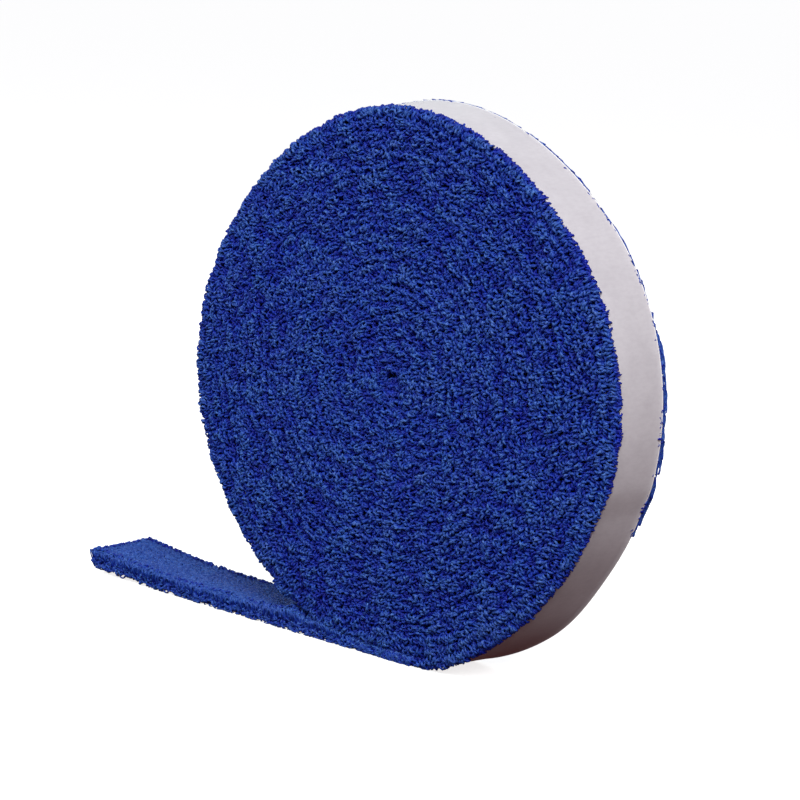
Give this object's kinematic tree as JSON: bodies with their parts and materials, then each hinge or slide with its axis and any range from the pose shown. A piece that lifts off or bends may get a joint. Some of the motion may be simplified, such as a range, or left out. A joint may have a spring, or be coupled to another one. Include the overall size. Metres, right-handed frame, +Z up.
{
  "type": "grip tape roll",
  "caption": "Coreless roll of blue towelling grip tape, wound pile inwards on a paper release liner, with its free end lying out flat.",
  "frame": {"origin": "centre of the bounding box's bottom, on the surface that the roll stands on and on the underside of the flat free end", "axes": "+Z up, +Y along the roll's axis and the tape's width, -X the way the free end points"},
  "size_m": [0.265, 0.0276, 0.208],
  "materials": {
    "towelling": "cotton terry loops, royal blue",
    "adhesive": "pale tacky film",
    "liner": "satin silicone-coated release paper"
  },
  "bodies": {
    "roll": {"towelling_wound": "towelling", "adhesive_wound": "adhesive", "liner_wound": "liner", "towelling_lead": "towelling", "adhesive_lead": "adhesive", "liner_lead": "liner"},
    "tail": {"towelling_tail": "towelling", "adhesive_tail": "adhesive", "liner_tail": "liner"},
    "tail_end": {"towelling_end": "towelling", "adhesive_end": "adhesive", "liner_end": "liner"},
    "flap": {"towelling_flap": "towelling", "adhesive_flap": "adhesive"}
  },
  "joints": [
    {"name": "tail_lift", "type": "hinge", "parent": "roll", "child": "tail", "pos_m": [-0.0355, 0, 0.00025], "axis": [0, 1, 0], "range_deg": [0, 25]},
    {"name": "tail_curl", "type": "hinge", "parent": "tail", "child": "tail_end", "pos_m": [-0.0695, 0, 0.00025], "axis": [0, 1, 0], "range_deg": [0, 20]},
    {"name": "liner_peel", "type": "hinge", "parent": "tail_end", "child": "flap", "pos_m": [-0.1035, 0, 0.00025], "axis": [0, 1, 0], "range_deg": [0, 70]}
  ]
}
